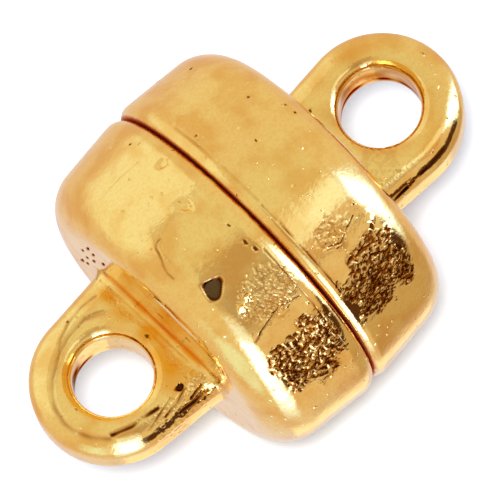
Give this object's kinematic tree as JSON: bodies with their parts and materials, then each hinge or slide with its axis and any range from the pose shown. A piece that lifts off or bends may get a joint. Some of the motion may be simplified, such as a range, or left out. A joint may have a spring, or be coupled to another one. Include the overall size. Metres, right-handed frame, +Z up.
{
  "type": "magnetic clasp",
  "caption": "Round drum-shaped magnetic clasp for a necklace or bracelet, split across its middle, with a flat eye on each end for a jump ring.",
  "frame": {"origin": "under the middle of the seam, on the surface that the clasp lies on, with the clasp on its side and its eyes level", "axes": "+X along the clasp's axis from the left eye to the right eye, +Z up, along both eyes' bores"},
  "size_m": [0.0118, 0.008, 0.008],
  "materials": {
    "gold_plating": "bright gold plating over a rough casting",
    "nickel_plating": "bright nickel plating"
  },
  "bodies": {
    "left_half": {"left_cap": "gold_plating"},
    "swivel_face": {"left_magnet": "nickel_plating"},
    "right_half": {"right_cap": "gold_plating", "right_magnet": "nickel_plating"}
  },
  "joints": [
    {"name": "swivel", "type": "hinge", "parent": "left_half", "child": "swivel_face", "pos_m": [0, 0, 0.004], "axis": [1, 0, 0], "continuous": true},
    {"name": "pull_apart", "type": "slide", "parent": "swivel_face", "child": "right_half", "axis": [1, 0, 0], "range_m": [0, 0.012]}
  ]
}
